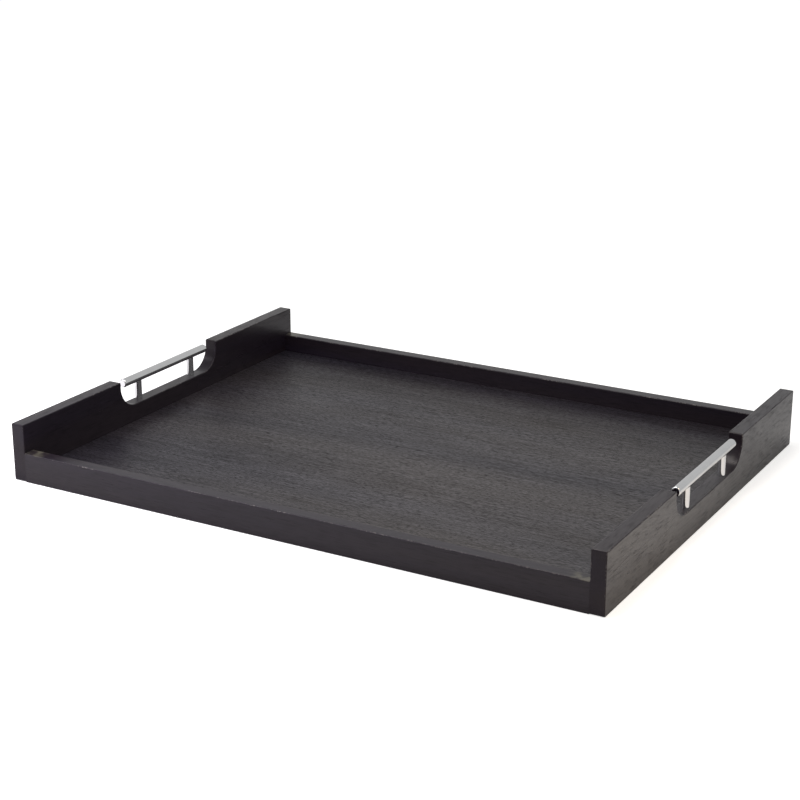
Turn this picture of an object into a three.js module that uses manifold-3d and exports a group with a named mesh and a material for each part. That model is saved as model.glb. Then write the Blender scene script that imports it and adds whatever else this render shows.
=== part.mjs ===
// Butler tray: a black-stained timber frame round a veneered base, lifted by two polished bar handles.
// Millimetres, +Z up. The origin lies under the middle of the tray, on the surface that it stands on.
// +X runs along the length to the right-hand end, and -Y is the front.
import * as THREE from 'three';
import { mergeVertices } from 'three/addons/utils/BufferGeometryUtils.js';
import Module from 'manifold-3d';

// Frame
const TRAY_LENGTH = 650;
const TRAY_WIDTH = 493;
const END_HEIGHT = 61;
const END_THICKNESS = 15;
const RAIL_HEIGHT = 31;
const RAIL_THICKNESS = 14;

// Base board, and the groove that it stands in
const FLOOR_LEVEL = 11;
const BASE_THICKNESS = 5;
const GROOVE_DEPTH = 4;

// Rounding of the boards: the arris on their edges, and how much rounder an end panel's corners and feet are
const ARRIS = 1;
const CORNER_EASE = 0.5;
const FOOT_EASE = 1.5;

// Hand hole round the handle
const HAND_HOLE_RADIUS = 25;
const BAR_END_GAP = 13;

// Handle. It stands a little outside the middle of the end panel, and a little below its top.
const BAR_LENGTH = 150;
const BAR_DIAMETER = 9.5;
const BAR_CHAMFER = 1.2;
const BAR_DROP = 1.5;
const HANDLE_OFFSET = 1;
const POST_SPACING = 96;
const POST_DIAMETER = 8;
const POST_LENGTH = 20;
const SPIGOT_DIAMETER = 5;
const SOCKET_DEPTH = 5;

// Screws that hold the posts down
const SCREW_DIAMETER = 4;
const SCREW_GRIP = 9;
const TAPPED_DEPTH = 12;
const HEAD_DIAMETER = 7.6;
const HEAD_HEIGHT = 2.6;
const HEAD_DOME = 1.4;
const RECESS_LENGTH = 4.2;
const RECESS_WIDTH = 0.9;
const RECESS_DEPTH = 1.5;
const COUNTERBORE_DEPTH = 4;

// Dowels in the corner joints
const DOWEL_DIAMETER = 6;
const DOWEL_LENGTH = 29;
const DOWEL_IN_PANEL = 10;
const DOWEL_CHAMFER = 0.8;

// Clearances
const GLUE_LINE = 0.1;
const SEAT_GAP = 0.1;
const SADDLE_GAP = 0.3;
const GROOVE_PLAY = 0.15;
const GROOVE_END_PLAY = 0.5;
const DOWEL_END_PLAY = 0.5;
const SHANK_PLAY = 0.3;
const HEAD_PLAY = 0.7;
const THREAD_PLAY = 0.15;

// Fineness of the round forms
const ARC_STEPS = 8;
const ARRIS_STEPS = 3;
const BAR_SIDES = 48;
const POST_SIDES = 32;
const SCREW_SIDES = 24;
const DOWEL_SIDES = 16;
const DOME_STEPS = 5;

// How far a cutter starts outside the face that it cuts
const RUN_OUT = 1;

// Places that follow from the sizes
const innerFace = -TRAY_LENGTH / 2 + END_THICKNESS;
const handleLine = -TRAY_LENGTH / 2 + END_THICKNESS / 2 - HANDLE_OFFSET;
const railMiddle = TRAY_WIDTH / 2 - RAIL_THICKNESS / 2;
const railInnerFace = TRAY_WIDTH / 2 - RAIL_THICKNESS;
const grooveLow = FLOOR_LEVEL - BASE_THICKNESS - GROOVE_PLAY;
const grooveHigh = FLOOR_LEVEL + GROOVE_PLAY;
const barRadius = BAR_DIAMETER / 2;
const barHeight = END_HEIGHT - BAR_DROP - barRadius;
const handHoleFloor = barHeight - barRadius - POST_LENGTH;
const handHoleWidth = BAR_LENGTH + 2 * BAR_END_GAP;
const screwLength = handHoleFloor - COUNTERBORE_DEPTH + SCREW_GRIP;
const dowelHeights = {
  lower: grooveHigh + (RAIL_HEIGHT - grooveHigh) / 4,
  upper: RAIL_HEIGHT - (RAIL_HEIGHT - grooveHigh) / 4,
};

const X_AXIS = new THREE.Vector3(1, 0, 0);
const Y_AXIS = new THREE.Vector3(0, 1, 0);
const Z_AXIS = new THREE.Vector3(0, 0, 1);

const wasm = await Module();
wasm.setup();

// A closed geometry as a solid that can be joined and cut
function solidOf(geometry) {
  const bare = geometry.clone();
  bare.deleteAttribute('normal');
  bare.deleteAttribute('uv');
  const welded = mergeVertices(bare);
  return new wasm.Manifold(new wasm.Mesh({
    numProp: 3,
    vertProperties: welded.attributes.position.array,
    triVerts: Uint32Array.from(welded.index.array),
  }));
}

// A solid as a geometry with crisp facets
function geometryOf(solid) {
  const { vertProperties, triVerts } = solid.getMesh();
  const shared = new THREE.BufferGeometry();
  shared.setAttribute('position', new THREE.BufferAttribute(vertProperties, 3));
  shared.setIndex(new THREE.BufferAttribute(triVerts, 1));
  const geometry = shared.toNonIndexed();
  geometry.computeVertexNormals();
  return geometry;
}

// The closed outline through corner points, each given as [across, up, radius], with its corners rounded
function roundedOutline(corners) {
  const outline = new THREE.Shape();
  corners.forEach(([across, up, radius], i) => {
    const corner = new THREE.Vector2(across, up);
    const before = corners[(i + corners.length - 1) % corners.length];
    const after = corners[(i + 1) % corners.length];
    const back = new THREE.Vector2(before[0], before[1]).sub(corner).normalize();
    const ahead = new THREE.Vector2(after[0], after[1]).sub(corner).normalize();
    const halfAngle = Math.acos(back.dot(ahead)) / 2;
    const middle = back.clone().add(ahead).setLength(radius / Math.sin(halfAngle)).add(corner);
    const start = back.clone().multiplyScalar(radius / Math.tan(halfAngle)).add(corner);
    const end = ahead.clone().multiplyScalar(radius / Math.tan(halfAngle)).add(corner);
    if (i === 0) {
      outline.moveTo(start.x, start.y);
    } else {
      outline.lineTo(start.x, start.y);
    }
    if (radius > 0) {
      const clockwise = back.cross(ahead) > 0;
      const startAngle = start.sub(middle).angle();
      const endAngle = end.sub(middle).angle();
      outline.absarc(middle.x, middle.y, radius, startAngle, endAngle, clockwise);
    }
  });
  return outline;
}

// A board: an outline in Y and Z carried along X, with its long edges rounded over by the arris
function board(outline, from, to, arris = 0) {
  const geometry = new THREE.ExtrudeGeometry(outline, {
    depth: to - from - 2 * arris,
    curveSegments: ARC_STEPS,
    bevelEnabled: arris > 0,
    bevelThickness: arris,
    bevelSize: arris,
    bevelOffset: -arris,
    bevelSegments: ARRIS_STEPS,
  });
  geometry.translate(0, 0, from + arris);
  return geometry.applyMatrix4(new THREE.Matrix4().makeBasis(Y_AXIS, Z_AXIS, X_AXIS));
}

// A round form about Z from a profile of [radius, height] points that starts and ends on the axis
function turned(profile, sides) {
  const points = profile.map(([radius, height]) => new THREE.Vector2(radius, height));
  return new THREE.LatheGeometry(points, sides).rotateX(Math.PI / 2);
}

// A plain round hole or pin about Z, between two heights
function drill(radius, low, high, sides) {
  return turned([[0, low], [radius, low], [radius, high], [0, high]], sides);
}

// Side outline of an end panel, with the hand hole open at its top
function endOutline() {
  const ends = TRAY_WIDTH / 2;
  const hole = handHoleWidth / 2;
  const corner = ARRIS + CORNER_EASE;
  const foot = ARRIS + FOOT_EASE;
  return roundedOutline([
    [-ends, 0, foot],
    [ends, 0, foot],
    [ends, END_HEIGHT, corner],
    [hole, END_HEIGHT, corner],
    [hole, handHoleFloor, HAND_HOLE_RADIUS],
    [-hole, handHoleFloor, HAND_HOLE_RADIUS],
    [-hole, END_HEIGHT, corner],
    [-ends, END_HEIGHT, corner],
  ]);
}

// The left-hand end panel. Its arrises are rounded over, but stay square where a rail lands on the inner face.
// A stopped groove takes the base, blind holes take the dowels, and the screws come up through the bottom edge.
function endPanel() {
  const outline = endOutline();
  const outerFace = innerFace - END_THICKNESS;
  const square = solidOf(board(outline, outerFace, innerFace));
  let panel = solidOf(board(outline, outerFace, innerFace, ARRIS));

  const landingDepth = END_THICKNESS / 2;
  for (const side of [-1, 1]) {
    const landing = new THREE.BoxGeometry(landingDepth, RAIL_THICKNESS, RAIL_HEIGHT);
    landing.translate(innerFace - landingDepth / 2, side * railMiddle, RAIL_HEIGHT / 2);
    panel = panel.add(square.intersect(solidOf(landing)));
  }

  const grooveRound = (grooveHigh - grooveLow) / 2;
  const grooveEnd = railInnerFace + GROOVE_DEPTH + grooveRound;
  const groove = roundedOutline([
    [-grooveEnd, grooveLow, grooveRound],
    [grooveEnd, grooveLow, grooveRound],
    [grooveEnd, grooveHigh, grooveRound],
    [-grooveEnd, grooveHigh, grooveRound],
  ]);
  panel = panel.subtract(solidOf(board(groove, innerFace - GROOVE_DEPTH, innerFace + RUN_OUT)));

  for (const side of [-1, 1]) {
    for (const height of Object.values(dowelHeights)) {
      panel = panel.subtract(dowelHole(innerFace - DOWEL_IN_PANEL - DOWEL_END_PLAY, innerFace + RUN_OUT,
        side * railMiddle, height));
    }
    const shankHole = drill(SCREW_DIAMETER / 2 + SHANK_PLAY, -RUN_OUT, handHoleFloor + RUN_OUT, SCREW_SIDES);
    const counterbore = drill(HEAD_DIAMETER / 2 + HEAD_PLAY, -RUN_OUT, COUNTERBORE_DEPTH, SCREW_SIDES);
    for (const cutter of [shankHole, counterbore]) {
      cutter.translate(handleLine, side * POST_SPACING / 2, 0);
      panel = panel.subtract(solidOf(cutter));
    }
  }
  return geometryOf(panel);
}

// A round hole along X for a dowel
function dowelHole(from, to, across, height) {
  const hole = drill(DOWEL_DIAMETER / 2 + GLUE_LINE, from, to, DOWEL_SIDES);
  return solidOf(hole.rotateY(Math.PI / 2).translate(0, across, height));
}

// The front rail: a board with the base's groove in its inner face and dowel holes in both ends
function rail() {
  const outer = -TRAY_WIDTH / 2;
  const inner = -railInnerFace;
  const section = roundedOutline([
    [outer, 0, ARRIS],
    [inner, 0, ARRIS],
    [inner, grooveLow, 0],
    [inner - GROOVE_DEPTH, grooveLow, 0],
    [inner - GROOVE_DEPTH, grooveHigh, 0],
    [inner, grooveHigh, 0],
    [inner, RAIL_HEIGHT, ARRIS],
    [outer, RAIL_HEIGHT, ARRIS],
  ]);
  const endFace = -innerFace - GLUE_LINE;
  const holeDepth = DOWEL_LENGTH - DOWEL_IN_PANEL + DOWEL_END_PLAY;
  let wood = solidOf(board(section, -endFace, endFace));
  for (const height of Object.values(dowelHeights)) {
    wood = wood.subtract(dowelHole(-endFace - RUN_OUT, -endFace + holeDepth, -railMiddle, height));
    wood = wood.subtract(dowelHole(endFace - holeDepth, endFace + RUN_OUT, -railMiddle, height));
  }
  return geometryOf(wood);
}

// The floor of the tray, let into the grooves on all four sides
function basePanel() {
  const reach = GROOVE_DEPTH - GROOVE_END_PLAY;
  const length = 2 * (-innerFace + reach);
  const width = 2 * (railInnerFace + reach);
  return new THREE.BoxGeometry(length, width, BASE_THICKNESS).translate(0, 0, FLOOR_LEVEL - BASE_THICKNESS / 2);
}

// A handle's round bar along Y, its ends chamfered, with a blind socket over each post
function handleBar() {
  const end = BAR_LENGTH / 2;
  const profile = [
    [0, -end],
    [barRadius - BAR_CHAMFER, -end],
    [barRadius, -end + BAR_CHAMFER],
    [barRadius, end - BAR_CHAMFER],
    [barRadius - BAR_CHAMFER, end],
    [0, end],
  ];
  let bar = solidOf(turned(profile, BAR_SIDES).rotateX(-Math.PI / 2));
  for (const side of [-1, 1]) {
    const top = SOCKET_DEPTH - barRadius;
    const socket = drill(SPIGOT_DIAMETER / 2 + SEAT_GAP, -barRadius - RUN_OUT, top, POST_SIDES);
    bar = bar.subtract(solidOf(socket.translate(0, side * POST_SPACING / 2, 0)));
  }
  return geometryOf(bar);
}

// A post, from the floor of the hand hole up: tapped from below, saddled to the bar and spigoted into it
function handlePost() {
  const radius = POST_DIAMETER / 2;
  const tapRadius = SCREW_DIAMETER / 2 + THREAD_PLAY;
  const barMiddle = POST_LENGTH + barRadius;
  const drillPoint = tapRadius / Math.sqrt(3);
  const body = solidOf(turned([
    [0, TAPPED_DEPTH + drillPoint],
    [tapRadius, TAPPED_DEPTH],
    [tapRadius, SEAT_GAP],
    [radius, SEAT_GAP],
    [radius, barMiddle],
    [0, barMiddle],
  ], POST_SIDES));
  const barRoom = drill(barRadius + SADDLE_GAP, -POST_DIAMETER, POST_DIAMETER, BAR_SIDES);
  const saddle = solidOf(barRoom.rotateX(Math.PI / 2).translate(0, 0, barMiddle));
  const spigotFoot = POST_LENGTH - SPIGOT_DIAMETER / 2;
  const spigotTop = POST_LENGTH + SOCKET_DEPTH - SEAT_GAP;
  const spigot = solidOf(drill(SPIGOT_DIAMETER / 2, spigotFoot, spigotTop, POST_SIDES));
  return geometryOf(body.subtract(saddle).add(spigot));
}

// A pan-head screw standing on its head, its bearing face at height zero
function handleScrew() {
  const shank = SCREW_DIAMETER / 2;
  const rim = HEAD_DIAMETER / 2;
  const profile = [[0, -HEAD_HEIGHT]];
  for (let step = 0; step <= DOME_STEPS; step += 1) {
    const turn = (step / DOME_STEPS) * (Math.PI / 2);
    profile.push([rim - HEAD_DOME + HEAD_DOME * Math.sin(turn), -HEAD_HEIGHT + HEAD_DOME * (1 - Math.cos(turn))]);
  }
  profile.push([rim, -SEAT_GAP], [shank, -SEAT_GAP], [shank, screwLength - shank / 2]);
  profile.push([shank / 2, screwLength], [0, screwLength]);
  let screw = solidOf(turned(profile, SCREW_SIDES));
  for (const turn of [0, Math.PI / 2]) {
    const slot = new THREE.BoxGeometry(RECESS_LENGTH, RECESS_WIDTH, 2 * RECESS_DEPTH);
    screw = screw.subtract(solidOf(slot.rotateZ(turn).translate(0, 0, -HEAD_HEIGHT)));
  }
  return geometryOf(screw);
}

// A dowel along X, from its place in the end panel into the rail, with chamfered ends
function dowel() {
  const radius = DOWEL_DIAMETER / 2;
  const start = innerFace - DOWEL_IN_PANEL;
  const end = start + DOWEL_LENGTH;
  const profile = [
    [0, start],
    [radius - DOWEL_CHAMFER, start],
    [radius, start + DOWEL_CHAMFER],
    [radius, end - DOWEL_CHAMFER],
    [radius - DOWEL_CHAMFER, end],
    [0, end],
  ];
  return geometryOf(solidOf(turned(profile, DOWEL_SIDES).rotateY(Math.PI / 2)));
}

// Finishes
const blackStain = () => new THREE.MeshStandardMaterial({ color: 0x2b292b, roughness: 0.42, metalness: 0 });
const blackVeneer = () => new THREE.MeshStandardMaterial({ color: 0x3a3a3b, roughness: 0.6, metalness: 0 });
const polishedChrome = () => new THREE.MeshStandardMaterial({ color: 0xd6d8da, roughness: 0.08, metalness: 1 });
const zincPlate = () => new THREE.MeshStandardMaterial({ color: 0xa9adb0, roughness: 0.35, metalness: 1 });
const beech = () => new THREE.MeshStandardMaterial({ color: 0xc79f6d, roughness: 0.7, metalness: 0 });

function piece(name, geometry, material, x = 0, y = 0, z = 0) {
  const mesh = new THREE.Mesh(geometry, material);
  mesh.name = name;
  mesh.position.set(x, y, z);
  return mesh;
}

const tray = new THREE.Group();
tray.add(piece('base_panel', basePanel(), blackVeneer()));

// The back rail is the front rail turned round, and the right-hand end is the left-hand end turned round
for (const [place, turn] of [['front', 0], ['back', Math.PI]]) {
  const wood = piece(`${place}_rail`, rail(), blackStain());
  wood.rotation.z = turn;
  tray.add(wood);
}

for (const [end, turn, frontSide] of [['left', 0, -1], ['right', Math.PI, 1]]) {
  const group = new THREE.Group();
  group.rotation.z = turn;
  group.add(piece(`${end}_end_panel`, endPanel(), blackStain()));
  group.add(piece(`${end}_handle_bar`, handleBar(), polishedChrome(), handleLine, 0, barHeight));
  for (const [place, side] of [['front', frontSide], ['back', -frontSide]]) {
    const across = side * POST_SPACING / 2;
    group.add(piece(`${end}_${place}_post`, handlePost(), polishedChrome(), handleLine, across, handHoleFloor));
    group.add(piece(`${end}_${place}_screw`, handleScrew(), zincPlate(), handleLine, across, COUNTERBORE_DEPTH));
    for (const [level, height] of Object.entries(dowelHeights)) {
      group.add(piece(`${place}_${end}_${level}_dowel`, dowel(), beech(), 0, side * railMiddle, height));
    }
  }
  tray.add(group);
}

export default tray;
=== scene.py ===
"""Butler tray: black-stained boards round an open-grained veneer floor, with polished bar handles."""
import math

import bmesh
import bpy
from mathutils import Matrix, Vector


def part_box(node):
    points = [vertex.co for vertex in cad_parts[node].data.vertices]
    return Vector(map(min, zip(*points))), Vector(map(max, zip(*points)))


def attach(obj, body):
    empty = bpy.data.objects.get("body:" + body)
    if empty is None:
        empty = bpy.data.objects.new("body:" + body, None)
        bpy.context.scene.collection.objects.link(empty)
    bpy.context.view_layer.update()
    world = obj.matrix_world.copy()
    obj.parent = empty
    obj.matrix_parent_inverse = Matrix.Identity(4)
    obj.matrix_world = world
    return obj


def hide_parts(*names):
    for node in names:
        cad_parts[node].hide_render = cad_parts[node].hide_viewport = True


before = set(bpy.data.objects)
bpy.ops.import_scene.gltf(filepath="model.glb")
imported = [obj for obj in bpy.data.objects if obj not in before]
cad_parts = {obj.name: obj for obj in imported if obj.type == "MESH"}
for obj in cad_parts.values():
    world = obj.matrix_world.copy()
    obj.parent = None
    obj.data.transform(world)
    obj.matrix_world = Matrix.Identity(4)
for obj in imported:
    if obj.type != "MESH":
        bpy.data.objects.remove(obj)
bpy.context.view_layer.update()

QUARTER_TURN = math.radians(90)

# Camera, as fitted to the edges of the boards in the photograph
VIEW_AZIMUTH = math.radians(29.669)
VIEW_ELEVATION = math.radians(18.812)
VIEW_ROLL = math.radians(-0.05)
VIEW_TARGET = Vector((-0.07875, 0.11117, 0.02167))
VIEW_DISTANCE = 2.01609
FOCAL_LENGTH = 81.667
SENSOR_WIDTH = 36.0

# Stage: the share of light that the floor sends back, and the glow that whitens it for the camera
# and in reflections
FLOOR_SIZE = 40.0
FLOOR_ALBEDO = 0.8
FLOOR_GLOW = 0.52
REFLECTED_GLOW = 0.06
SURROUND_LEVEL = 0.64
WHITE = (1.0, 1.0, 1.0, 1.0)

# Softboxes, which hang over the floor and face straight down: place, side, power in watts and tint
OVERHEAD_SOFTBOX = {"place": (0.06, -0.04, 0.6), "side": 0.4, "power": 1.6, "tint": (1.0, 0.93, 0.88)}
FRONT_SOFTBOX = {"place": (-0.55, -0.7, 0.7), "side": 0.7, "power": 8.3, "tint": (0.97, 0.92, 1.0)}
RIGHT_SOFTBOX = {"place": (0.62, -0.22, 0.4), "side": 0.3, "power": 0.65, "tint": (1.0, 0.78, 0.52)}
SOFTBOX_SPREAD = math.radians(130)

# Ranges of a mask and of plain noise, and the middle of coloured noise
WHOLE = (0.0, 1.0)
NOISE_SPREAD = (0.3, 0.7)
NOISE_MIDDLE = (0.5, 0.5, 0.5)

# Timber grain: sway, bands, fibres, pores and drift of colour, and what they add to the tone and the height
GRAIN_SWAY = {"Scale": 9.0, "Detail": 2.0}
BAND_LAYERS = {"detail": 3.0, "roughness": 0.65}
BAND_SHARE = 0.4
FIBRE_LAYERS = {"detail": 3.0, "roughness": 0.6}
FIBRE_SHARE = 0.6
FIBRE_HEIGHT = 0.5
PORE_RAMP = (0.0, 0.08)
PORE_HEIGHT = -0.6
DRIFT_PACE = 0.7
DRIFT_SPREAD = (0.35, 0.65)

# Handling marks: broad smears with finer breaks in them
SMEAR_LAYERS = {"detail": 4.0, "roughness": 0.6}
SMEAR_SPREAD = (0.42, 0.68)
BREAK_FINENESS = 11.0
BREAK_LEVEL = (0.4, 1.0)

# Rubbed arrises: stretches of bare wood broken up by nicks, at so many a metre, slid along by the shift.
# Their pale grey is also a painted highlight, standing for glints of light on the edges.
STRETCHES = 28.0
STRETCH_LAYERS = {"detail": 3.0, "roughness": 0.6}
STRETCH_SPREAD = (0.46, 0.64)
NICKS = 500.0
NICK_SPREAD = (0.5, 0.62)
WEAR_AND_GLINT_SHIFT = (0.035, 0.0, 0.0)

# Black stain on the boards: colours, grain, roughness and relief
STAIN_DARK = (0.0085, 0.0062, 0.0102, 1.0)
STAIN_LIGHT = (0.0138, 0.0098, 0.016, 1.0)
STAIN_BROWN = (0.017, 0.0118, 0.0102, 1.0)
STAIN_PORE = (0.0055, 0.0042, 0.006, 1.0)
STAIN_LAYERS = (("Drift", 0.4, STAIN_BROWN), ("Pore", 0.7, STAIN_PORE))
# Pale grey of the rubbed arrises: worn bare wood, and also painted glints of light along the edges
BARE_EDGE_AND_GLINT = (0.11, 0.1, 0.098, 1.0)
STAIN_GRAIN = {
    "Bands": 50.0,
    "Band Length": 22.0,
    "Fibres": 800.0,
    "Fibre Length": 22.0,
    "Pores": 1850.0,
    "Pore Length": 32.0,
    "Pore Level": 0.55,
}
STAIN_MARKS = 22.0
STAIN_ROUGHNESS = (0.25, 0.35)
STAIN_PORE_DULLING = 0.1
STAIN_SMEAR_DULLING = 0.05
WEAR_DULLING = 0.2
STAIN_RELIEF = {"strength": 0.12, "depth": 0.0001}

# Lacquer over the stain: its weight on dark and light grain, and the share of it left on pores and end grain
STAIN_GLOSS = 0.1
STAIN_LACQUER_ROUGHNESS = 0.25
STAIN_LACQUER_IOR = 1.33
END_LACQUER = {"weight": (0.48, 0.72), "on_pores": 0.0}
RAIL_LACQUER = {"weight": (0.48, 0.62), "on_pores": 0.8}
LACQUER_ON_END_GRAIN = 0.52

# Thinner stain on top of the rails at the sanded joints: colour, reach in metres, and patches
THIN_STAIN = (0.076, 0.071, 0.055, 1.0)
THIN_LENGTH = 0.024
THIN_FADE = 0.014
THIN_DEPTH = 0.0012
THIN_PATCHES = 110.0
THIN_SPREAD = (0.42, 0.58)
THIN_LEVEL = (0.1, 1.0)

# Black-stained veneer of the floor: colours, grain, roughness, relief and lacquer
VENEER_DARK = (0.007, 0.006, 0.0085, 1.0)
VENEER_LIGHT = (0.024, 0.0205, 0.03, 1.0)
VENEER_BROWN = (0.03, 0.0225, 0.0165, 1.0)
VENEER_PORE = (0.0025, 0.0022, 0.0025, 1.0)
VENEER_LAYERS = (("Drift", 0.45, VENEER_BROWN), ("Pore", 0.8, VENEER_PORE))
VENEER_GRAIN = {
    "Bands": 14.0,
    "Band Length": 6.0,
    "Fibres": 430.0,
    "Fibre Length": 26.0,
    "Pores": 2500.0,
    "Pore Length": 12.0,
    "Pore Level": 0.5,
    "Wander": 0.0015,
}
VENEER_MARKS = 7.0
VENEER_ROUGHNESS = (0.4, 0.48)
VENEER_PORE_DULLING = 0.1
VENEER_SMEAR_DULLING = 0.04
VENEER_RELIEF = {"strength": 0.25, "depth": 0.00025}
VENEER_GLOSS = 0.1
VENEER_LACQUER_ROUGHNESS = 0.38
VENEER_LACQUER_TONES = (0.2, 0.8)
VENEER_LACQUER_WEIGHT = (0.4, 1.0)
VENEER_LACQUER_ON_PORES = 0.2

# Chrome of the handles, with hairlines drawn out along the bars
CHROME_CLEAN = (0.66, 0.665, 0.67, 1.0)
CHROME_SMEARED = (0.6, 0.605, 0.61, 1.0)
CHROME_MARKS = 60.0
CHROME_ROUGHNESS = (0.015, 0.05)
HAIRLINES = 4000.0
HAIRLINE_DETAIL = 1.0
HAIRLINE_DRAW = (1.0, 0.05, 1.0)
HAIRLINE_RELIEF = {"strength": 0.03, "depth": 0.00002}

# Zinc plating of the screws
ZINC_BRIGHT = (0.6, 0.62, 0.64, 1.0)
ZINC_DULL = (0.48, 0.47, 0.43, 1.0)
ZINC_MARKS = 240.0
ZINC_ROUGHNESS = (0.28, 0.48)
ZINC_SPANGLE = 2500.0
ZINC_RELIEF = {"strength": 0.1, "depth": 0.00003}

# Beech of the dowels
BEECH_DARK = (0.46, 0.27, 0.12, 1.0)
BEECH_LIGHT = (0.66, 0.44, 0.23, 1.0)
BEECH_PORE = (0.3, 0.16, 0.07, 1.0)
BEECH_LAYERS = (("Pore", 0.5, BEECH_PORE),)
BEECH_GRAIN = {"Bands": 260.0, "Fibres": 1400.0, "Pores": 1800.0, "Pore Level": 0.58}
BEECH_ROUGHNESS = (0.55, 0.72)
BEECH_RELIEF = {"strength": 0.3, "depth": 0.0001}

# Boards: how near corners are welded, how flat faces are joined, the gap that the glue fills,
# how far a face leans before it counts as an arris, and where the light breaks at an edge
WELD_GAP = 0.00001
FLAT_ANGLE = math.radians(0.5)
GLUE_LINE = 0.0001
FLAT_LEAN = 0.05
SHARP_ANGLE = math.radians(42)
X_AXIS = 0
Y_AXIS = 1

# Bars and posts: sides, the bar's eased rim, the post's gap to the bar, and the tapped hole in its foot
BAR_SIDES = 96
POST_SIDES = 64
RIM_EASE = 0.0012
RIM_STEPS = 4
SADDLE_GAP = 0.0002
TAPPED_RADIUS = 0.00215
TAPPED_DEPTH = 0.012

# Sockets of a node that mixes two colours
MIX_SHARE = 0
MIX_LOW = 6
MIX_HIGH = 7
MIX_RESULT = 2

BODY = "root"
ENDS = ("left", "right")
PLACES = ("front", "back")
LEVELS = ("lower", "upper")


# Node helpers

def fill(tree, node, inputs):
    """Sets each input of a node to a value, or links it to a socket."""
    for name, value in inputs.items():
        if isinstance(value, bpy.types.NodeSocket):
            tree.links.new(value, node.inputs[name])
        else:
            node.inputs[name].default_value = value
    return node


def add(tree, kind, inputs, **settings):
    """A shader node of that kind, with its settings and inputs."""
    node = tree.nodes.new(kind)
    for name, value in settings.items():
        setattr(node, name, value)
    return fill(tree, node, inputs)


def maths(tree, operation, *values):
    """The result of a maths node on one or more values or sockets."""
    return add(tree, "ShaderNodeMath", dict(enumerate(values)), operation=operation).outputs[0]


def vector_maths(tree, operation, *vectors, **numbers):
    """The result of a vector maths node on vectors, and on numbers given by name."""
    inputs = {**dict(enumerate(vectors)), **numbers}
    return add(tree, "ShaderNodeVectorMath", inputs, operation=operation).outputs[0]


def remap(tree, value, given, wanted=WHOLE):
    """A value carried from the given range to the wanted one, and held there."""
    inputs = {
        "Value": value,
        "From Min": given[0],
        "From Max": given[1],
        "To Min": wanted[0],
        "To Max": wanted[1],
    }
    return add(tree, "ShaderNodeMapRange", inputs, clamp=True).outputs["Result"]


def blend(tree, share, low, high):
    """Two colours mixed by a share from 0 to 1."""
    inputs = {MIX_SHARE: share, MIX_LOW: low, MIX_HIGH: high}
    return add(tree, "ShaderNodeMix", inputs, data_type="RGBA").outputs[MIX_RESULT]


def noise(tree, vector, scale, detail=2.0, roughness=0.5):
    """Soft noise round a middle of 0.5, at so many features a metre."""
    inputs = {"Vector": vector, "Scale": scale, "Detail": detail, "Roughness": roughness}
    return add(tree, "ShaderNodeTexNoise", inputs).outputs["Fac"]


def attribute(tree, name):
    """A number that the faces of a piece carry."""
    return add(tree, "ShaderNodeAttribute", {}, attribute_name=name).outputs["Fac"]


def mapping(tree, place, **change):
    """Coordinates that are moved, turned or scaled."""
    return add(tree, "ShaderNodeMapping", {"Vector": place, **change}).outputs[0]


def raise_surface(tree, height, strength, depth):
    """A normal for relief of that depth in metres."""
    bump = add(tree, "ShaderNodeBump", {"Height": height, "Strength": strength, "Distance": depth})
    return bump.outputs["Normal"]


def new_group(name, values, results):
    """An effect with a Vector input, number inputs and number outputs: its tree, inputs and output node."""
    tree = bpy.data.node_groups.new(name, "ShaderNodeTree")
    tree.interface.new_socket(name="Vector", in_out="INPUT", socket_type="NodeSocketVector")
    for label, value in values.items():
        socket = tree.interface.new_socket(name=label, in_out="INPUT", socket_type="NodeSocketFloat")
        socket.default_value = value
    for label in results:
        tree.interface.new_socket(name=label, in_out="OUTPUT", socket_type="NodeSocketFloat")
    return tree, tree.nodes.new("NodeGroupInput").outputs, tree.nodes.new("NodeGroupOutput")


def place_group(tree, group, inputs):
    """The outputs of an effect that is used with its own values."""
    return add(tree, "ShaderNodeGroup", inputs, node_tree=group).outputs


def new_finish(name):
    """A material with only its output, its Principled shader and the object's own coordinates."""
    material = bpy.data.materials.new(name)
    material.use_nodes = True
    tree = material.node_tree
    tree.nodes.clear()
    shader = tree.nodes.new("ShaderNodeBsdfPrincipled")
    add(tree, "ShaderNodeOutputMaterial", {"Surface": shader.outputs["BSDF"]})
    place = tree.nodes.new("ShaderNodeTexCoord").outputs["Object"]
    return material, tree, shader, place


# Effects that several finishes share

def draw_out(tree, vector, times):
    """Coordinates in which a pattern comes out so many times longer along X."""
    squeeze = add(tree, "ShaderNodeCombineXYZ", {"X": maths(tree, "DIVIDE", 1.0, times), "Y": 1.0, "Z": 1.0})
    return vector_maths(tree, "MULTIPLY", vector, squeeze.outputs[0])


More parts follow.
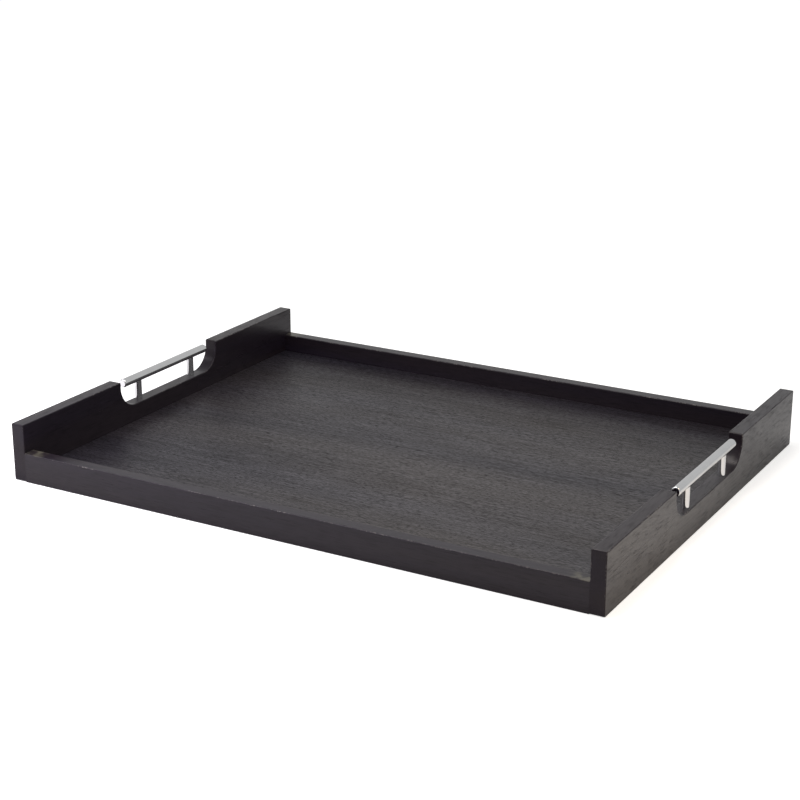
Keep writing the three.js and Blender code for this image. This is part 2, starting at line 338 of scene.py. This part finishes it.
def make_timber_grain():
    """Straight-grained wood with its grain along X: slow bands of tone, fine fibres and short open pores,
    with a slower drift of colour along the board."""
    values = {
        "Bands": 60.0,
        "Band Length": 12.0,
        "Fibres": 700.0,
        "Fibre Length": 12.0,
        "Pores": 900.0,
        "Pore Length": 12.0,
        "Pore Level": 0.55,
        "Wander": 0.003,
    }
    tree, given, result = new_group("timber_grain", values, ("Tone", "Pore", "Drift", "Height"))
    sway = add(tree, "ShaderNodeTexNoise", {"Vector": given["Vector"], **GRAIN_SWAY}).outputs["Color"]
    centred = vector_maths(tree, "SUBTRACT", sway, NOISE_MIDDLE)
    aside = vector_maths(tree, "SCALE", centred, Scale=given["Wander"])
    bent = vector_maths(tree, "ADD", given["Vector"], aside)
    band_place = draw_out(tree, bent, given["Band Length"])
    bands = remap(tree, noise(tree, band_place, given["Bands"], **BAND_LAYERS), NOISE_SPREAD)
    slower = maths(tree, "MULTIPLY", given["Bands"], DRIFT_PACE)
    drift = remap(tree, noise(tree, band_place, slower), DRIFT_SPREAD)
    fibre_place = draw_out(tree, bent, given["Fibre Length"])
    fibres = remap(tree, noise(tree, fibre_place, given["Fibres"], **FIBRE_LAYERS), NOISE_SPREAD)
    dashes = noise(tree, draw_out(tree, bent, given["Pore Length"]), given["Pores"])
    pores = remap(tree, maths(tree, "SUBTRACT", dashes, given["Pore Level"]), PORE_RAMP)
    tone = maths(tree, "MULTIPLY_ADD", bands, BAND_SHARE, maths(tree, "MULTIPLY", fibres, FIBRE_SHARE))
    height = maths(tree, "MULTIPLY_ADD", pores, PORE_HEIGHT, maths(tree, "MULTIPLY", fibres, FIBRE_HEIGHT))
    fill(tree, result, {"Tone": tone, "Pore": pores, "Drift": drift, "Height": height})
    return tree


def make_handling_marks():
    """Faint smears and rubbed patches that a hand leaves on a polished or lacquered surface."""
    tree, given, result = new_group("handling_marks", {"Marks": 30.0}, ("Smear",))
    broad = noise(tree, given["Vector"], given["Marks"], **SMEAR_LAYERS)
    fine = noise(tree, given["Vector"], maths(tree, "MULTIPLY", given["Marks"], BREAK_FINENESS))
    breaks = remap(tree, fine, NOISE_SPREAD, BREAK_LEVEL)
    smear = maths(tree, "MULTIPLY", remap(tree, broad, SMEAR_SPREAD), breaks)
    fill(tree, result, {"Smear": smear})
    return tree


def make_edge_wear_and_glints():
    """Short stretches where the stain has rubbed off an arris, painted pale so that they also stand as
    glints of light on the edges.
    """
    tree, given, result = new_group("arris_wear_and_glints", {"Arris": 0.0}, ("Wear And Glint",))
    stretches = remap(tree, noise(tree, given["Vector"], STRETCHES, **STRETCH_LAYERS), STRETCH_SPREAD)
    nicks = remap(tree, noise(tree, given["Vector"], NICKS), NICK_SPREAD)
    wear_and_glints = maths(tree, "MULTIPLY", given["Arris"], maths(tree, "MULTIPLY", stretches, nicks))
    fill(tree, result, {"Wear And Glint": wear_and_glints})
    return tree


# Finishes

def wood_colour(tree, wood, dark, light, layers):
    """Dark to light by the wood's tone, with a share of each further colour laid over by its mask."""
    colour = blend(tree, wood["Tone"], dark, light)
    for mask, share, tint in layers:
        colour = blend(tree, maths(tree, "MULTIPLY", wood[mask], share), colour, tint)
    return colour


def dull(tree, roughness, mask, amount):
    """A roughness that rises by an amount where a mask is 1."""
    return maths(tree, "MULTIPLY_ADD", mask, amount, roughness)


def wear_down(tree, lacquer, mask, left):
    """A weight of lacquer that falls to the share left where a mask is 1."""
    return maths(tree, "MULTIPLY", lacquer, remap(tree, mask, WHOLE, (1.0, left)))


def thin_at_joints(tree, place):
    """1 in patches on top of the rails at their ends, where the joints were sanded flush, otherwise 0."""
    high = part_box("front_rail")[1]
    axes = add(tree, "ShaderNodeSeparateXYZ", {"Vector": place}).outputs
    start = high.x - THIN_LENGTH
    close = remap(tree, maths(tree, "ABSOLUTE", axes["X"]), (start, start + THIN_FADE))
    on_top = remap(tree, axes["Z"], (high.z - THIN_DEPTH, high.z))
    patches = remap(tree, noise(tree, place, THIN_PATCHES), THIN_SPREAD, THIN_LEVEL)
    return maths(tree, "MULTIPLY", maths(tree, "MULTIPLY", close, on_top), patches)


def make_stain(name, along_width, coating, grain, wear_and_glints, marks):
    """Satin black stain over solid boards: the grain just shows, browner in places.
    It runs along the tray's width on the end panels, and along its length on the rails."""
    material, tree, shader, place = new_finish(name)
    along = mapping(tree, place, Rotation=(0.0, 0.0, QUARTER_TURN)) if along_width else place
    wood = place_group(tree, grain, {"Vector": along, **STAIN_GRAIN})
    smear = place_group(tree, marks, {"Vector": place, "Marks": STAIN_MARKS})["Smear"]
    wear_and_glint_place = mapping(tree, place, Location=WEAR_AND_GLINT_SHIFT)
    worn_and_glinting = place_group(tree, wear_and_glints, {"Vector": wear_and_glint_place, "Arris": attribute(tree, "arris")})["Wear And Glint"]
    colour = wood_colour(tree, wood, STAIN_DARK, STAIN_LIGHT, STAIN_LAYERS)
    if not along_width:
        colour = blend(tree, thin_at_joints(tree, place), colour, THIN_STAIN)
    # Painted pale grey on worn stretches of the arrises: bare wood, and also painted highlight glints
    colour = blend(tree, worn_and_glinting, colour, BARE_EDGE_AND_GLINT)
    roughness = remap(tree, wood["Tone"], WHOLE, STAIN_ROUGHNESS)
    roughness = dull(tree, roughness, wood["Pore"], STAIN_PORE_DULLING)
    roughness = dull(tree, roughness, smear, STAIN_SMEAR_DULLING)
    roughness = dull(tree, roughness, worn_and_glinting, WEAR_DULLING)
    lacquer = remap(tree, wood["Tone"], WHOLE, coating["weight"])
    lacquer = wear_down(tree, lacquer, wood["Pore"], coating["on_pores"])
    lacquer = wear_down(tree, lacquer, attribute(tree, "end_grain"), LACQUER_ON_END_GRAIN)
    fill(tree, shader, {
        "Base Color": colour,
        "Roughness": roughness,
        "Normal": raise_surface(tree, wood["Height"], **STAIN_RELIEF),
        "Specular IOR Level": STAIN_GLOSS,
        "Coat Weight": lacquer,
        "Coat Roughness": STAIN_LACQUER_ROUGHNESS,
        "Coat IOR": STAIN_LACQUER_IOR,
    })
    return material


def make_veneer(grain, marks):
    """Matt black-stained veneer with short open pores along the tray's length."""
    material, tree, shader, place = new_finish("floor_veneer")
    wood = place_group(tree, grain, {"Vector": place, **VENEER_GRAIN})
    smear = place_group(tree, marks, {"Vector": place, "Marks": VENEER_MARKS})["Smear"]
    roughness = remap(tree, wood["Tone"], WHOLE, VENEER_ROUGHNESS)
    roughness = dull(tree, roughness, wood["Pore"], VENEER_PORE_DULLING)
    roughness = dull(tree, roughness, smear, VENEER_SMEAR_DULLING)
    lacquer = remap(tree, wood["Tone"], VENEER_LACQUER_TONES, VENEER_LACQUER_WEIGHT)
    lacquer = wear_down(tree, lacquer, wood["Pore"], VENEER_LACQUER_ON_PORES)
    fill(tree, shader, {
        "Base Color": wood_colour(tree, wood, VENEER_DARK, VENEER_LIGHT, VENEER_LAYERS),
        "Roughness": roughness,
        "Normal": raise_surface(tree, wood["Height"], **VENEER_RELIEF),
        "Specular IOR Level": VENEER_GLOSS,
        "Coat Weight": lacquer,
        "Coat Roughness": VENEER_LACQUER_ROUGHNESS,
    })
    return material


def make_chrome(marks):
    """Mirror chrome with faint handling marks and hairline wear."""
    material, tree, shader, place = new_finish("mirror_chrome")
    smear = place_group(tree, marks, {"Vector": place, "Marks": CHROME_MARKS})["Smear"]
    hairlines = noise(tree, mapping(tree, place, Scale=HAIRLINE_DRAW), HAIRLINES, HAIRLINE_DETAIL)
    fill(tree, shader, {
        "Metallic": 1.0,
        "Base Color": blend(tree, smear, CHROME_CLEAN, CHROME_SMEARED),
        "Roughness": remap(tree, smear, WHOLE, CHROME_ROUGHNESS),
        "Normal": raise_surface(tree, hairlines, **HAIRLINE_RELIEF),
    })
    return material


def make_zinc(marks):
    """Dull bright-zinc plating on the screws."""
    material, tree, shader, place = new_finish("zinc_plate")
    smear = place_group(tree, marks, {"Vector": place, "Marks": ZINC_MARKS})["Smear"]
    fill(tree, shader, {
        "Metallic": 1.0,
        "Base Color": blend(tree, smear, ZINC_BRIGHT, ZINC_DULL),
        "Roughness": remap(tree, smear, WHOLE, ZINC_ROUGHNESS),
        "Normal": raise_surface(tree, noise(tree, place, ZINC_SPANGLE), **ZINC_RELIEF),
    })
    return material


def make_beech(grain):
    """Bare beech dowels with their grain along the tray's length."""
    material, tree, shader, place = new_finish("beech")
    wood = place_group(tree, grain, {"Vector": place, **BEECH_GRAIN})
    fill(tree, shader, {
        "Base Color": wood_colour(tree, wood, BEECH_DARK, BEECH_LIGHT, BEECH_LAYERS),
        "Roughness": remap(tree, wood["Tone"], WHOLE, BEECH_ROUGHNESS),
        "Normal": raise_surface(tree, wood["Height"], **BEECH_RELIEF),
    })
    return material


# Pieces

def new_piece(name, shape, finish, node):
    """A modelled piece that rides with the tray, in the place of one solid.
    Its flats are true and its easings round in the light, with a crisp line only at sharp edges."""
    shape.normal_update()
    for face in shape.faces:
        face.smooth = True
    for edge in shape.edges:
        edge.smooth = edge.calc_face_angle() < SHARP_ANGLE
    mesh = bpy.data.meshes.new(name)
    shape.to_mesh(mesh)
    shape.free()
    mesh.materials.append(finish)
    piece = bpy.data.objects.new(name, mesh)
    bpy.context.scene.collection.objects.link(piece)
    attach(piece, BODY)
    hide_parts(node)
    flats = piece.modifiers.new("flats", "WEIGHTED_NORMAL")
    flats.keep_sharp = True


def joined_copy(node):
    """A board's own solid with its triangles joined up into whole faces."""
    shape = bmesh.new()
    shape.from_mesh(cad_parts[node].data)
    bmesh.ops.remove_doubles(shape, verts=shape.verts[:], dist=WELD_GAP)
    bmesh.ops.dissolve_limit(shape, angle_limit=FLAT_ANGLE, verts=shape.verts[:], edges=shape.edges[:])
    return shape


def new_board(name, shape, thickness_axis, grain_axis, finish, node):
    """A board with its arrises and end grain marked, so that wear with its painted glints and a duller gloss
    can find them.
    """
    shape.normal_update()
    arris = shape.faces.layers.float.new("arris")
    end_grain = shape.faces.layers.float.new("end_grain")
    for face in shape.faces:
        face[arris] = float(FLAT_LEAN < abs(face.normal[thickness_axis]) < 1.0 - FLAT_LEAN)
        face[end_grain] = face.normal[grain_axis] ** 2
    new_piece(name, shape, finish, node)


def add_rail(place, finish):
    """A rail, let out by the glue line at each end so that its joints close."""
    node = f"{place}_rail"
    shape = joined_copy(node)
    for corner in shape.verts:
        corner.co.x += math.copysign(GLUE_LINE, corner.co.x)
    new_board(f"{place}_rail_board", shape, Y_AXIS, X_AXIS, finish, node)


def add_end_panel(end, finish):
    """An end panel with its hand hole."""
    node = f"{end}_end_panel"
    new_board(f"{end}_end_board", joined_copy(node), X_AXIS, Y_AXIS, finish, node)


def new_rod(radius, sides, length):
    """A round solid that stands on the origin: its mesh, and the flat faces of its foot and its crown."""
    shape = bmesh.new()
    raised = Matrix.Translation((0.0, 0.0, length / 2))
    bmesh.ops.create_cone(
        shape, cap_ends=True, radius1=radius, radius2=radius, depth=length, segments=sides, matrix=raised
    )
    shape.normal_update()
    flat_ends = [face for face in shape.faces if len(face.verts) == sides]
    foot, crown = sorted(flat_ends, key=lambda face: face.normal.z)
    return shape, foot, crown


def add_bar(end, finish):
    """A round bar along Y, with its flat ends eased at the rim."""
    node = f"{end}_handle_bar"
    low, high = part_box(node)
    middle = (low + high) / 2
    shape, foot, crown = new_rod((high.z - low.z) / 2, BAR_SIDES, high.y - low.y)
    rims = [*foot.edges, *crown.edges]
    bmesh.ops.bevel(
        shape, geom=rims, offset=RIM_EASE, segments=RIM_STEPS, profile=0.5, affect="EDGES", material=-1
    )
    lay_down = Matrix.Rotation(-QUARTER_TURN, 3, "X")
    bmesh.ops.rotate(shape, verts=shape.verts[:], cent=(0.0, 0.0, 0.0), matrix=lay_down)
    bmesh.ops.translate(shape, verts=shape.verts[:], vec=(middle.x, low.y, middle.z))
    new_piece(f"{end}_grab_bar", shape, finish, node)


def tap_foot(shape, foot, radius):
    """Sinks the blind hole for the screw into the foot of a post that stands upright."""
    bmesh.ops.inset_individual(shape, faces=[foot], thickness=radius - TAPPED_RADIUS)
    hole_end = bmesh.ops.extrude_discrete_faces(shape, faces=[foot])["faces"][0]
    bmesh.ops.translate(shape, verts=hole_end.verts[:], vec=(0.0, 0.0, TAPPED_DEPTH))


def add_post(end, place, finish):
    """A round post from the floor of the hand hole, saddled to the underside of its bar."""
    node = f"{end}_{place}_post"
    low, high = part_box(node)
    middle = (low + high) / 2
    radius = (high.x - low.x) / 2
    bar_low, bar_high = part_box(f"{end}_handle_bar")
    bar_radius = (bar_high.z - bar_low.z) / 2 + SADDLE_GAP
    bar_level = (bar_low.z + bar_high.z) / 2
    shape, foot, crown = new_rod(radius, POST_SIDES, bar_low.z - low.z)
    saddle = bmesh.ops.inset_individual(shape, faces=[crown], thickness=radius / 2)["faces"]
    saddle += bmesh.ops.poke(shape, faces=[crown])["faces"]
    for corner in {corner for face in saddle for corner in face.verts}:
        corner.co.z = bar_level - low.z - math.sqrt(bar_radius ** 2 - corner.co.x ** 2)
    tap_foot(shape, foot, radius)
    bmesh.ops.translate(shape, verts=shape.verts[:], vec=(middle.x, middle.y, low.z))
    new_piece(f"{end}_{place}_pillar", shape, finish, node)


def finish_node(node, finish):
    """A solid that stays as it is, in its own finish."""
    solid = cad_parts[node]
    solid.data.materials.clear()
    solid.data.materials.append(finish)


# Stage

def make_camera():
    """The photograph's view."""
    back = Vector((
        math.sin(VIEW_AZIMUTH) * math.cos(VIEW_ELEVATION),
        -math.cos(VIEW_AZIMUTH) * math.cos(VIEW_ELEVATION),
        math.sin(VIEW_ELEVATION),
    ))
    level = Vector((0.0, 0.0, 1.0)).cross(back).normalized()
    upright = back.cross(level)
    right = level * math.cos(VIEW_ROLL) - upright * math.sin(VIEW_ROLL)
    turn = Matrix((right, back.cross(right), back)).transposed()
    data = bpy.data.cameras.new("camera")
    data.lens = FOCAL_LENGTH
    data.sensor_width = SENSOR_WIDTH
    camera = bpy.data.objects.new("camera", data)
    camera.matrix_world = Matrix.Translation(VIEW_TARGET + back * VIEW_DISTANCE) @ turn.to_4x4()
    bpy.context.scene.collection.objects.link(camera)
    bpy.context.scene.camera = camera


def make_floor():
    """A pale floor that keeps the tray's shadow and looks white round it, and pale in reflections."""
    material = bpy.data.materials.new("pale_floor")
    material.use_nodes = True
    tree = material.node_tree
    tree.nodes.clear()
    path = tree.nodes.new("ShaderNodeLightPath").outputs
    seen = maths(tree, "MAXIMUM", path["Is Camera Ray"], path["Is Transmission Ray"])
    strength = maths(tree, "MULTIPLY", path["Is Glossy Ray"], REFLECTED_GLOW)
    strength = maths(tree, "MULTIPLY_ADD", seen, FLOOR_GLOW, strength)
    matt = add(tree, "ShaderNodeBsdfDiffuse", {"Color": (FLOOR_ALBEDO, FLOOR_ALBEDO, FLOOR_ALBEDO, 1.0)})
    glow = add(tree, "ShaderNodeEmission", {"Color": WHITE, "Strength": strength})
    both = add(tree, "ShaderNodeAddShader", {0: matt.outputs[0], 1: glow.outputs[0]})
    add(tree, "ShaderNodeOutputMaterial", {"Surface": both.outputs[0]})
    shape = bmesh.new()
    bmesh.ops.create_grid(shape, x_segments=1, y_segments=1, size=FLOOR_SIZE / 2)
    mesh = bpy.data.meshes.new("floor")
    shape.to_mesh(mesh)
    shape.free()
    mesh.materials.append(material)
    floor = bpy.data.objects.new("floor", mesh)
    bpy.context.scene.collection.objects.link(floor)


def make_surround():
    """An even, pale surround that the camera sees as plain white."""
    world = bpy.data.worlds.new("surround")
    bpy.context.scene.world = world
    world.use_nodes = True
    tree = world.node_tree
    tree.nodes.clear()
    camera_ray = tree.nodes.new("ShaderNodeLightPath").outputs["Is Camera Ray"]
    strength = maths(tree, "MAXIMUM", SURROUND_LEVEL, camera_ray)
    sky = add(tree, "ShaderNodeBackground", {"Color": WHITE, "Strength": strength})
    add(tree, "ShaderNodeOutputWorld", {"Surface": sky.outputs[0]})


def add_softbox(name, place, side, power, tint):
    """A square diffuser with a grid, facing straight down."""
    data = bpy.data.lights.new(name, "AREA")
    data.shape = "SQUARE"
    data.size = side
    data.energy = power
    data.color = tint
    data.spread = SOFTBOX_SPREAD
    lamp = bpy.data.objects.new(name, data)
    lamp.location = place
    lamp.visible_camera = False
    bpy.context.scene.collection.objects.link(lamp)


bpy.context.scene.view_settings.view_transform = "Standard"
make_camera()
make_floor()
make_surround()
add_softbox("overhead_softbox", **OVERHEAD_SOFTBOX)
add_softbox("front_softbox", **FRONT_SOFTBOX)
add_softbox("right_softbox", **RIGHT_SOFTBOX)

grain = make_timber_grain()
marks = make_handling_marks()
wear_and_glints = make_edge_wear_and_glints()
rail_stain = make_stain("rail_stain", False, RAIL_LACQUER, grain, wear_and_glints, marks)
end_stain = make_stain("end_panel_stain", True, END_LACQUER, grain, wear_and_glints, marks)
veneer = make_veneer(grain, marks)
chrome = make_chrome(marks)
zinc = make_zinc(marks)
beech = make_beech(grain)

finish_node("base_panel", veneer)
for place in PLACES:
    add_rail(place, rail_stain)
for end in ENDS:
    add_end_panel(end, end_stain)
    add_bar(end, chrome)
    for place in PLACES:
        add_post(end, place, chrome)
        finish_node(f"{end}_{place}_screw", zinc)
        for level in LEVELS:
            finish_node(f"{place}_{end}_{level}_dowel", beech)
